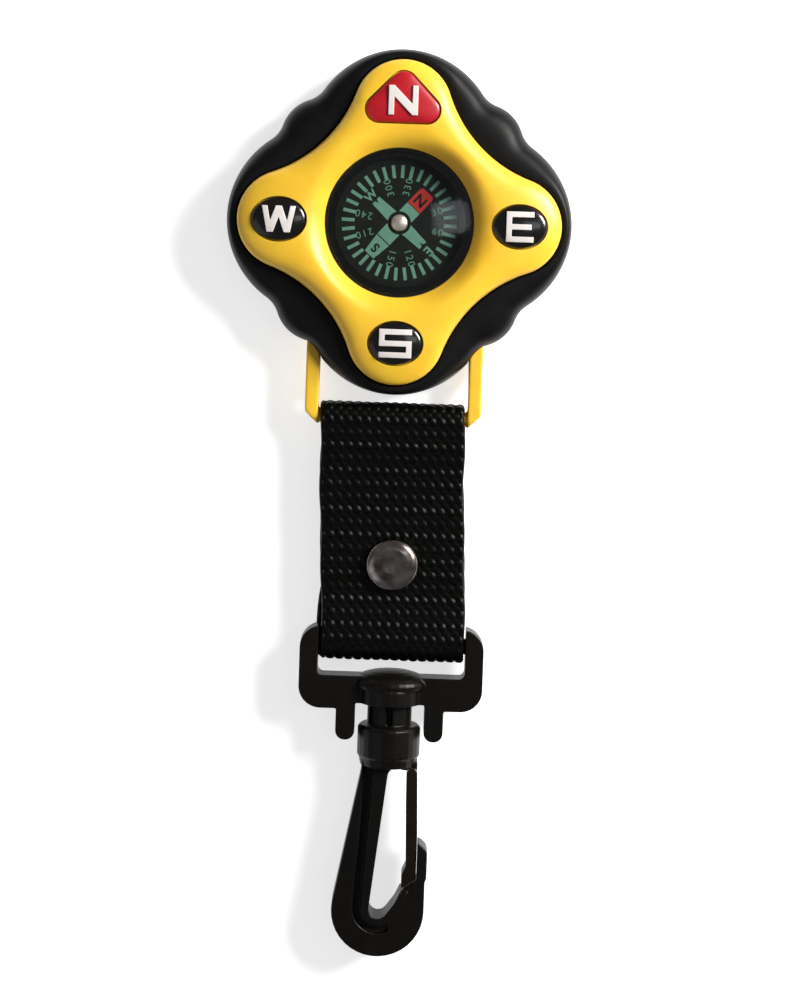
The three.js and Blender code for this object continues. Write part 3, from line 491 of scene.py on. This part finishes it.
def oval(bearing, grow=0.0, steps=72):
    low, high = box_mm("badge_east")
    half_x, half_y = (high.x - low.x) / 2 + grow, (high.y - low.y) / 2 + grow
    cx, cy = BADGE_AWAY * math.cos(bearing), BADGE_AWAY * math.sin(bearing)
    turns = [2 * math.pi * i / steps for i in range(steps)]
    return [(cx + half_x * math.cos(t), cy + half_y * math.sin(t)) for t in turns]


def triangle(grow=0.0):
    """Triangle with round corners, one of them away from the compass, sized to the CAD badge."""
    low, high = box_mm("badge_north")
    corner, steps = TRIANGLE_CORNER, 16
    tips = [(0, high.y - corner), (low.x + corner, low.y + corner), (high.x - corner, low.y + corner)]
    starts = [math.atan2(a[0] - b[0], b[1] - a[1]) for a, b in zip(tips[-1:] + tips[:-1], tips)]
    outline = []
    for k, (cx, cy) in enumerate(tips):
        sweep = (starts[(k + 1) % 3] - starts[k]) % (2 * math.pi)
        for i in range(steps + 1):
            turn = starts[k] + sweep * i / steps
            outline.append((cx + (corner + grow) * math.cos(turn), cy + (corner + grow) * math.sin(turn)))
    return outline


def badge_outline(name, grow=0.0):
    return triangle(grow) if name == "north" else oval(CARDINALS[name], grow)


def badge_center(name):
    if name == "north":
        return 0.0, NORTH_MIDDLE
    return BADGE_AWAY * math.cos(CARDINALS[name]), BADGE_AWAY * math.sin(CARDINALS[name])


# ---------------------------------------------------------------- case

FUNNEL = 14.9
WINDOW = 12.75
WINDOW_Z = 11.6
BEZEL_EDGE_Z = 11.2
SHELL_WALL = 1  # of the bezel, at the window
CREST_AT = 0.22  # part of the way from the funnel to the rim at which the crown is highest
CROWN_FULLNESS = 2.1  # how squarely the crown turns down to the rim
POCKET_GAP = 0.28  # round a badge


def bezel_section(angle):
    rim = bezel_radius(angle)
    top = BEZEL_HIGH.z
    skirt = 0.8  # how far the bezel reaches down beside the grip
    base = GRIP_HIGH.z - skirt
    crest = FUNNEL + CREST_AT * (rim - FUNNEL)
    loop = [(WINDOW + SHELL_WALL, base), (rim - 0.6, base), (rim - 0.15, base + 0.3), (rim, base + skirt)]
    steps = 22
    for k in range(steps + 1):
        out = math.sin(math.pi / 2 * (1 - k / steps))
        rise = (1 - out ** CROWN_FULLNESS) ** 0.5
        loop.append((crest + (rim - crest) * out, BEZEL_EDGE_Z + (top - BEZEL_EDGE_Z) * rise))
    lip = (WINDOW + 0.25, WINDOW_Z + 0.15)
    loop += bezier((crest, top), (FUNNEL - 0.25, top + 0.05), lip, 12)
    loop += bezier(lip, (WINDOW, WINDOW_Z), (WINDOW, WINDOW_Z - 0.3), 3)
    shelf = LENS_HIGH.z - 1.0
    loop += [(WINDOW, shelf), (WINDOW + SHELL_WALL, shelf)]
    return loop


def make_bezel():
    bezel = lobed_ring("bezel_shell", bezel_section, 288)
    pockets = []
    for name in CARDINALS:
        floor = box_mm("badge_" + name)[0].z - 0.1
        pockets.append(prism("pocket_" + name, badge_outline(name, POCKET_GAP), floor, BEZEL_HIGH.z + 2))
    carve(bezel, pockets)
    finish_mesh(bezel.data, 40)
    dress(bezel, "yellow", "case", "yellow_plastic", "front_bezel")


GRIP_FOOT = 2.2  # rounding at the grip's back edge
GRIP_SHOULDER_Z = 5.6
GRIP_ROUNDING = (0.62, 0.8)  # powers of the quarter wave that the grip's shoulder follows, out and up
GRIP_LIP = 0.35  # rounding of the edge beside the bezel
LOOP_LEG = (12.95, 15.3)  # inner and outer side of the back cover's legs
NOTCH_END, NOTCH_START = -40, -12.7  # along Y, of the openings that the legs pass through


def grip_section(angle):
    rim = grip_radius(angle)
    seat = bezel_radius(angle, 0.25)
    cover = rim - GRIP_WALL + CLEAR
    well, plate, top = WINDOW + 3.5, 3.5, GRIP_HIGH.z
    loop = [(well, plate), (cover, plate), (cover, 0.25), (cover + 0.25, 0), (rim - GRIP_FOOT, 0)]
    loop += bezier((rim - GRIP_FOOT, 0), (rim, 0), (rim, GRIP_FOOT), 8)
    steps = 26
    for k in range(steps + 1):
        lean = math.pi / 2 * k / steps
        out = max(0.0, math.cos(lean)) ** GRIP_ROUNDING[0]
        up = math.sin(lean) ** GRIP_ROUNDING[1]
        flare, rise = (rim - seat - GRIP_LIP) * out, (top - GRIP_SHOULDER_Z) * up
        loop.append((seat + GRIP_LIP + flare, GRIP_SHOULDER_Z + rise))
    loop += bezier(loop[-1], (seat, top), (seat, top - 0.4), 4)
    loop += [(seat, top - 1.1), (well, top - 1.1)]
    return loop


def make_grip():
    grip = lobed_ring("grip_skin", grip_section, 360)
    top = box_mm("back_cover")[1].z + CLEAR
    inner, outer = LOOP_LEG[0] - CLEAR, LOOP_LEG[1] + CLEAR
    notches = []
    for side in (-1, 1):
        left, right = sorted((side * inner, side * outer))
        outline = [(left, NOTCH_END), (right, NOTCH_END), (right, NOTCH_START), (left, NOTCH_START)]
        notches.append(prism(f"notch_{side}", outline, -1, top))
    carve(grip, notches)
    finish_mesh(grip.data, 40)
    dress(grip, "rubber", "case", "black_rubber", "bumper_grip")


def make_badge(name):
    """A pad with a slightly rounded edge and a low dome, over its flat outline."""
    outline = badge_outline(name)
    cx, cy = badge_center(name)
    bottom = box_mm("badge_" + name)[0].z
    levels = [(1.0, bottom), (1.0, BADGE_SHOULDER_Z - 0.05)]
    steps = 18
    for k in range(steps):
        lean = math.pi / 2 * k / steps
        levels.append((max(0.0, math.cos(lean)) ** 0.9, BADGE_SHOULDER_Z + BADGE_DOME * math.sin(lean)))
    points, faces = [], []
    for scale, z in levels:
        points += [(cx + (x - cx) * scale, cy + (y - cy) * scale, z) for x, y in outline]
    count = len(outline)
    rings = len(levels)
    top = len(points)
    points.append((cx, cy, BADGE_SHOULDER_Z + BADGE_DOME))
    faces.append(tuple(range(count - 1, -1, -1)))
    for j in range(count):
        after = (j + 1) % count
        for k in range(rings - 1):
            low, high = k * count, (k + 1) * count
            faces.append((low + j, low + after, high + after, high + j))
        last = (rings - 1) * count
        faces.append((last + j, last + after, top))
    badge = mesh_object(f"badge_{name}_face", points, faces, 50)
    finish, slot_name = ("red", "red_plastic") if name == "north" else ("gloss", "gloss_black")
    dress(badge, finish, "case", slot_name, "badge_" + name)


STROKE = 0.95  # width of the letters' bars
NOTCH = 1.9  # depth of the inner corners of N and W
LETTER_SINK, LETTER_RISE = -0.5, 0.34  # bottom and top of a letter, from its badge's dome


def letter_outline(initial, w, h):
    """Outline of a letter that fills w to either side and h above and below its middle."""
    m = STROKE / 2
    if initial == "n":
        return [(-w, -h), (-w + STROKE, -h), (-w + STROKE, h - NOTCH), (w - STROKE, -h), (w, -h), (w, h),
                (w - STROKE, h), (w - STROKE, -h + NOTCH), (-w + STROKE, h), (-w, h)]
    if initial == "e":
        short = w - 0.4
        return [(-w, -h), (w, -h), (w, -h + STROKE), (-w + STROKE, -h + STROKE), (-w + STROKE, -m),
                (short, -m), (short, m), (-w + STROKE, m), (-w + STROKE, h - STROKE), (w, h - STROKE),
                (w, h), (-w, h)]
    if initial == "s":
        return [(-w, -h), (w, -h), (w, m), (-w + STROKE, m), (-w + STROKE, h - STROKE), (w, h - STROKE),
                (w, h), (-w, h), (-w, -m), (w - STROKE, -m), (w - STROKE, -h + STROKE), (-w, -h + STROKE)]
    foot, q = STROKE * 0.55, w / 2
    return [(-w, h), (-q - foot, -h), (-q + foot, -h), (0, h - NOTCH), (q - foot, -h), (q + foot, -h), (w, h),
            (w - STROKE, h), (q, -h + NOTCH), (foot, h), (-foot, h), (-q, -h + NOTCH), (-w + STROKE, h)]


def make_letter(initial, name):
    """Raised letter with soft edges, wrapped over the dome of its badge."""
    low, high = box_mm("letter_" + initial)
    bx, by = badge_center(name)
    outline = letter_outline(initial, (high.x - low.x) / 2, (high.y - low.y) / 2)
    placed = [(x + bx, y + by) for x, y in outline]
    letter = prism("letter_" + initial + "_raised", placed, LETTER_SINK, LETTER_RISE)
    soften(letter, 0.05, 5)
    badge_low, badge_high = box_mm("badge_" + name)
    half_x, half_y = (badge_high.x - badge_low.x) / 2, (badge_high.y - badge_low.y) / 2
    for vertex in letter.data.vertices:
        x, y = vertex.co.x / MM - bx, vertex.co.y / MM - by
        out = min(0.95, (x / half_x) ** 2 + (y / half_y) ** 2)
        vertex.co.z += (BADGE_SHOULDER_Z + BADGE_DOME * math.sqrt(1 - out)) * MM
    dress(letter, "white", "case", "white_ink", "letter_" + initial)


def make_back():
    dress_skin("back_cover", "yellow", "case", "yellow_plastic", 0.2, 18)
    for name in CARDINALS:
        dress_skin("body_screw_" + name, "steel", "case", "steel", 0.09, 2)


# ---------------------------------------------------------------- capsule and dial

LENS_WALL, LENS_SAG = 0.9, 0.7
FLANGE_DROP = 1.3  # from the lens's top to its flange


def make_lens():
    step, rim, top, bottom = WINDOW - 0.35, LENS_HIGH.x, LENS_HIGH.z, LENS_LOW.z
    inside, bevel = step - 1, step - 0.2
    steps = 16
    profile = [(0, top - LENS_WALL)]
    for k in range(1, steps + 1):
        profile.append((inside * k / steps, top - LENS_WALL - LENS_SAG * (k / steps) ** 2))
    profile += [(inside, bottom), (rim, bottom), (rim, top - FLANGE_DROP), (step, top - FLANGE_DROP)]
    profile += [(step, top - LENS_SAG - 0.25), (bevel, top - LENS_SAG - 0.03)]
    for k in range(steps - 1, 0, -1):
        profile.append((bevel * k / steps, top - LENS_SAG * (k / steps) ** 2))
    profile.append((0, top))
    dress(turned("lens_dome", profile, 128), "lens", "case", "clear_lens", "capsule_dome")


# The card's print, in millimetres from its centre, with north up.
TICKS = 36
TICK_IN, TICK_OUT, TICK_WIDE = 7.7, 9.9, 0.58
ARM = 1.45  # half width of the bars that make the card's cross
PRINT_GAP = 0.01  # between the card and its print
# the middle thickness is for a painted shadow: the dark disc round the jewel cap
PRINT, CAP_SHADOW_PRINT, DARK_PRINT = 0.02, 0.03, 0.05  # thickness of the print, layer on layer


def on_card(points):
    """Turns flat points of the card's own drawing (north up) to where the card points."""
    c, s = math.cos(DIAL_TURN), math.sin(DIAL_TURN)
    return [(x * c - y * s, x * s + y * c) for x, y in points]


def card_print(name, outlines, finish, lift, slot_name="gloss_black"):
    bottom = CARD_HIGH.z + PRINT_GAP
    print_piece = joined_prisms(name, [on_card(o) for o in outlines], bottom, bottom + lift)
    dress(print_piece, finish, "dial", slot_name)


def radial_bar(bearing, inner, outer, wide):
    out = Vector((math.sin(bearing), math.cos(bearing)))
    side = Vector((out.y, -out.x)) * wide / 2
    corners = [out * inner - side, out * outer - side, out * outer + side, out * inner + side]
    return [tuple(c) for c in corners]


def card_text(name, words, finish, lift, spacing=1.0, bold=0.0):
    """Flat lettering on the card: each word is (text, bearing, distance, size, turn from radial)."""
    points, faces = [], []
    for text, bearing, away, size, turn in words:
        curve = bpy.data.curves.new("word", "FONT")
        curve.body = text
        curve.size = size
        curve.align_x = "CENTER"
        curve.align_y = "CENTER"
        curve.resolution_u = 4
        curve.space_character = spacing
        curve.offset = bold
        holder = add_object("word", curve)
        bpy.context.view_layer.update()
        ready = holder.evaluated_get(bpy.context.evaluated_depsgraph_get())
        flat = bpy.data.meshes.new_from_object(ready)
        spot = Vector((away * math.sin(bearing), away * math.cos(bearing), 0))
        place = Matrix.Rotation(DIAL_TURN, 4, "Z") @ Matrix.Translation(spot)
        place = place @ Matrix.Rotation(math.pi / 2 - bearing + turn, 4, "Z")
        start = len(points)
        for vertex in flat.vertices:
            spot = place @ vertex.co
            points.append((spot.x, spot.y, CARD_HIGH.z + PRINT_GAP + lift))
        faces += [tuple(start + k for k in face.vertices) for face in flat.polygons]
        bpy.data.objects.remove(holder)
        bpy.data.curves.remove(curve)
        bpy.data.meshes.remove(flat)
    dress(mesh_object(name, points, faces), finish, "dial", "gloss_black")


def make_card():
    hole, edge, bevel = CUP_HIGH.x + 0.25, CARD_HIGH.x, 0.1
    low, high = CARD_LOW.z, CARD_HIGH.z
    section = [(hole, low), (edge - bevel, low), (edge, low + bevel)]
    section += [(edge, high - bevel), (edge - bevel, high), (hole, high)]
    dress(lobed_ring("dial_disc", lambda _: section, 128), "card", "dial", "gloss_black", "dial_card")


def print_marks():
    ticks = [radial_bar(2 * math.pi * i / TICKS, TICK_IN, TICK_OUT, TICK_WIDE) for i in range(TICKS)]
    card_print("dial_ticks", ticks, "green", PRINT)
    arm = [(ARM, 1.5), (ARM, 3.5), (-ARM, 3.5), (-ARM, 1.5)]
    tail = [(-ARM, -1.5), (-ARM, -3.9), (ARM, -3.9), (ARM, -1.5)]
    tail_end = [(-ARM, -4.1), (-1.02, -7.5), (1.02, -7.5), (ARM, -4.1)]
    side_arm = [(1.5, -1.1), (5.6, -0.85), (5.6, -0.25), (4.9, 0), (5.6, 0.25), (5.6, 0.85), (1.5, 1.1)]
    other_arm = [(-x, -y) for x, y in side_arm]
    card_print("dial_arms", [arm, tail, tail_end, side_arm, other_arm], "green", PRINT)
    block = [(-ARM, 3.6), (ARM, 3.6), (ARM, 6.6), (1.15, 7.15), (-1.15, 7.15), (-ARM, 6.6)]
    card_print("dial_north", [block], "print_red", PRINT)
    # painted shadow: a disc in the card's black round the jewel cap, laid over the inner ends of the arms
    # where the cap's shadow falls
    shadow_radius, steps = 2.0, 64
    ring = [(shadow_radius * math.cos(t), shadow_radius * math.sin(t)) for t in (2 * math.pi * i / steps for i in range(steps))]
    card_print("dial_cap_shadow", [ring], "card", CAP_SHADOW_PRINT)


def print_words():
    numbers = [(str(v), math.radians(v), 6.75 if v < 100 else 6.25, 1.75, 0)
               for v in range(0, 360, 30) if v % 90]
    card_text("dial_numbers", numbers, "green_thin", PRINT, 1.25)
    upright = -math.pi / 2
    sides = [("E", math.pi / 2, 6.9, 2.3, upright), ("W", -math.pi / 2, 6.7, 2.0, upright)]
    card_text("dial_sides", sides, "green", PRINT, bold=0.06)
    dark = [("N", 0, 5.1, 2.6, upright), ("S", math.pi, 5.85, 2.2, upright)]
    card_text("dial_marks", dark, "card", DARK_PRINT, bold=0.07)


def make_jewel():
    radius, top = CUP_HIGH.x, CUP_HIGH.z
    dome, steps = 0.55, 10
    profile = [(0, CUP_LOW.z), (radius - 0.2, CUP_LOW.z), (radius, CARD_LOW.z), (radius, top - dome)]
    for k in range(1, steps):
        lean = math.pi / 2 * k / steps
        profile.append((radius * math.cos(lean), top - dome + dome * math.sin(lean)))
    profile.append((0, top))
    dress(turned("jewel_cap", profile, 64), "jewel", "dial", "steel", "jewel_cup")


# ---------------------------------------------------------------- strap and rivet

STRAP_WIDTH, STRAP_THICK = 25, 1.25
STRAP_PITCH = 1.6
STRAP_LEAN = 0.03  # sideways shift for each millimetre below the case bar
BAR_RADIUS, EYE_RADIUS = 1.2, 1.4
HIDDEN_END, BACK_END, FLAT_RUN, FRONT_RISE, BACK_RISE = 7.5, 8, 4.5, 14, 11  # along Y, from the rivet

# The web: short leaning floats of yarn, in rows across it.
COLUMNS = 15.5  # floats in a row
ROW = 1.12  # from row to row
RELIEF = 0.3
FLOAT_HALF = 0.43  # half width of a float, in columns
STRONG_LENGTH, WEAK_LENGTH, WEAK_HEIGHT = 0.68, 0.45, 0.35  # half lengths in rows, and share of height
FLOAT_LEAN = 0.12
HOLE_RADIUS = 1.9


def strap_shift(y):
    return STRAP_LEAN * (CASE_BAR.y - y)


def ease(a, b, steps):
    """Points from a to b, level at both ends."""
    points = []
    for i in range(steps + 1):
        part = i / steps
        rise = (b[1] - a[1]) * (1 - math.cos(math.pi * part)) / 2
        points.append((a[0] + (b[0] - a[0]) * part, a[1] + rise))
    return points


def arc(y, z, radius, start, end, steps):
    turns = [start + (end - start) * i / steps for i in range(1, steps)]
    return [(y + radius * math.cos(t), z + radius * math.sin(t)) for t in turns]


def strap_line():
    """The strip's middle line in (y, z), from its hidden end round both bars to its other end."""
    rivet_y = (CAP_LOW.y + CAP_HIGH.y) / 2
    front, back = HOOK_Z + STRAP_PITCH, HOOK_Z - STRAP_PITCH
    loop = BAR_RADIUS + CLEAR + STRAP_THICK / 2
    eye = EYE_RADIUS + CLEAR + STRAP_THICK / 2
    half, quarter = math.pi, math.pi / 2
    line = [(rivet_y - HIDDEN_END, HOOK_Z)]
    line += ease((rivet_y + BACK_RISE, HOOK_Z), (CASE_BAR.y, HOOK_Z - loop), 24)
    line += arc(CASE_BAR.y, HOOK_Z, loop, -quarter, quarter, 40)
    line += ease((CASE_BAR.y, HOOK_Z + loop), (rivet_y + FRONT_RISE, front), 24)
    line += ease((rivet_y - FLAT_RUN, front), (EYE_BAR.y, HOOK_Z + eye), 24)
    line += arc(EYE_BAR.y, HOOK_Z, eye, quarter, half + quarter, 40)
    line += ease((EYE_BAR.y, HOOK_Z - eye), (rivet_y - FLAT_RUN, back), 24)
    line.append((rivet_y + BACK_END, back))
    return [Vector(p) for p in line]


def resample(line, step):
    """Even stations along a polyline: (distance, point, direction)."""
    stations, travelled, due = [], 0.0, 0.0
    for a, b in zip(line, line[1:]):
        length = (b - a).length
        while due <= travelled + length:
            stations.append((due, a.lerp(b, (due - travelled) / length)))
            due += step
        travelled += length
    result = []
    for i, (distance, point) in enumerate(stations):
        before = stations[max(i - 1, 0)][1]
        after = stations[min(i + 1, len(stations) - 1)][1]
        result.append((distance, point, (after - before).normalized()))
    return result


def weave(across, along):
    """Height from 0 to 1 of the web's surface: rows of short leaning yarn floats, strong and weak."""
    best = 0.0
    column = across * COLUMNS
    row = along / ROW
    for j in (math.floor(row), math.floor(row) + 1):
        weak = j % 2
        shift = 0.5 * weak
        i = round(column - shift - 0.5) + shift + 0.5
        du, dv = column - i, row - j
        du += FLOAT_LEAN * dv
        flat = (du / FLOAT_HALF) ** 2 + (dv / (WEAK_LENGTH if weak else STRONG_LENGTH)) ** 2
        if flat < 1:
            tension = 0.7 + 0.2 * math.sin(1.3 * j) + 0.1 * math.sin(5.3 * i + 3.7 * j)
            best = max(best, tension * (WEAK_HEIGHT if weak else 1.0) * math.sqrt(1 - flat))
    return best


def wander(distance, point, stations):
    """Sideways drift of the web: a slight wave, and near the frame the front strays right, the back left."""
    stray_right, stray_left = 0.2, 1.1
    wave = 0.14 * math.sin(distance * 0.45) + 0.1 * math.sin(distance * 0.19 + 1)
    near = max(0.0, min(1.0, (CAP_LOW.y - point.x) / (CAP_LOW.y - EYE_BAR.y)))
    if distance < stations[-1][0] / 2 or point.y > HOOK_Z:
        return wave + stray_right * near
    turned_back = max(0.0, min(1.0, (HOOK_Z - point.y) / STRAP_PITCH))
    return wave - stray_left * near * turned_back


def make_strap():
    body = STRAP_THICK / 2 - RELIEF
    edge_rounding = 0.6
    columns = 140
    points, faces = [], []
    stations = resample(strap_line(), 0.2)
    for distance, point, along in stations:
        normal = Vector((-along.y, along.x))
        for side in (1, -1):
            for k in range(columns + 1):
                part = k / columns
                edge = min(part, 1 - part) * STRAP_WIDTH
                round_off = math.sqrt(max(0.0, 1 - (1 - min(1.0, edge / edge_rounding)) ** 2))
                height = (body + RELIEF * weave(part, distance)) * round_off
                spot = point + normal * side * height
                drift = strap_shift(spot.x) + wander(distance, point, stations)
                points.append((side * (part - 0.5) * STRAP_WIDTH + drift, spot.x, spot.y))
    ring = 2 * (columns + 1)
    for i in range(len(stations) - 1):
        for j in range(ring):
            after = (j + 1) % ring
            faces.append((i * ring + j, i * ring + after, (i + 1) * ring + after, (i + 1) * ring + j))
    last = (len(stations) - 1) * ring
    faces.append(tuple(range(ring)))
    faces.append(tuple(range(last + ring - 1, last - 1, -1)))
    strap = mesh_object("web_strap", points, faces, 80)
    rivet_x, rivet_y = cap_center()
    turns = [math.pi * i / 12 for i in range(24)]
    hole = [(rivet_x + HOLE_RADIUS * math.cos(t), rivet_y + HOLE_RADIUS * math.sin(t)) for t in turns]
    carve(strap, [prism("rivet_hole", hole, 0, 2 * HOOK_Z)])
    dress(strap, "web", "strap", "black_web", "webbing_strap")


def cap_center():
    return (CAP_LOW.x + CAP_HIGH.x) / 2, (CAP_LOW.y + CAP_HIGH.y) / 2


def make_rivet():
    radius = (CAP_HIGH.x - CAP_LOW.x) / 2
    low, top = CAP_LOW.z, CAP_HIGH.z
    under, side = (radius - 0.35, low), (radius, low + 0.7)
    crown, dish = (radius * 0.62, top - 0.04), (radius * 0.26, top - 0.08)
    profile = [(0, low), under]
    profile += bezier(under, (radius, low), side, 6)
    profile += bezier(side, (radius, top - 0.3), crown, 18)
    profile += bezier(crown, (radius * 0.42, top + 0.03), dish, 10)
    profile += bezier(dish, (radius * 0.14, top - 0.14), (0, top - 0.14), 6)
    dress(turned("rivet_head", profile, 96, cap_center()), "chrome", "strap", "chrome", "rivet_cap")
    dress_skin("rivet_post", "steel", "strap", "chrome", 0.1, 2)


# ---------------------------------------------------------------- hook hardware

def make_hardware():
    dress_skin("swivel_frame", "acetal", "frame", "black_plastic", 0.13, 6)
    dress_skin("hook_body", "acetal", "hook", "black_plastic", 0.13, 10)
    dress_skin("gate_tongue", "gate", "gate", "black_plastic", 0.1, 4)


def paint_hidden():
    """CAD nodes that stay as they are get their finish."""
    for node, finish in {"capsule_base": "gloss", "pivot_needle": "steel", "card_magnet": "magnet"}.items():
        holder = frame["nodes"][node]
        holder.data.materials.clear()
        holder.data.materials.append(FINISH[finish])


# ---------------------------------------------------------------- assembly

add_camera()
add_stage()
FINISH = make_finishes()
make_bezel()
make_grip()
for direction in CARDINALS:
    make_badge(direction)
    make_letter(direction[0], direction)
make_back()
make_lens()
make_card()
print_marks()
print_words()
make_jewel()
make_strap()
make_rivet()
make_hardware()
paint_hidden()
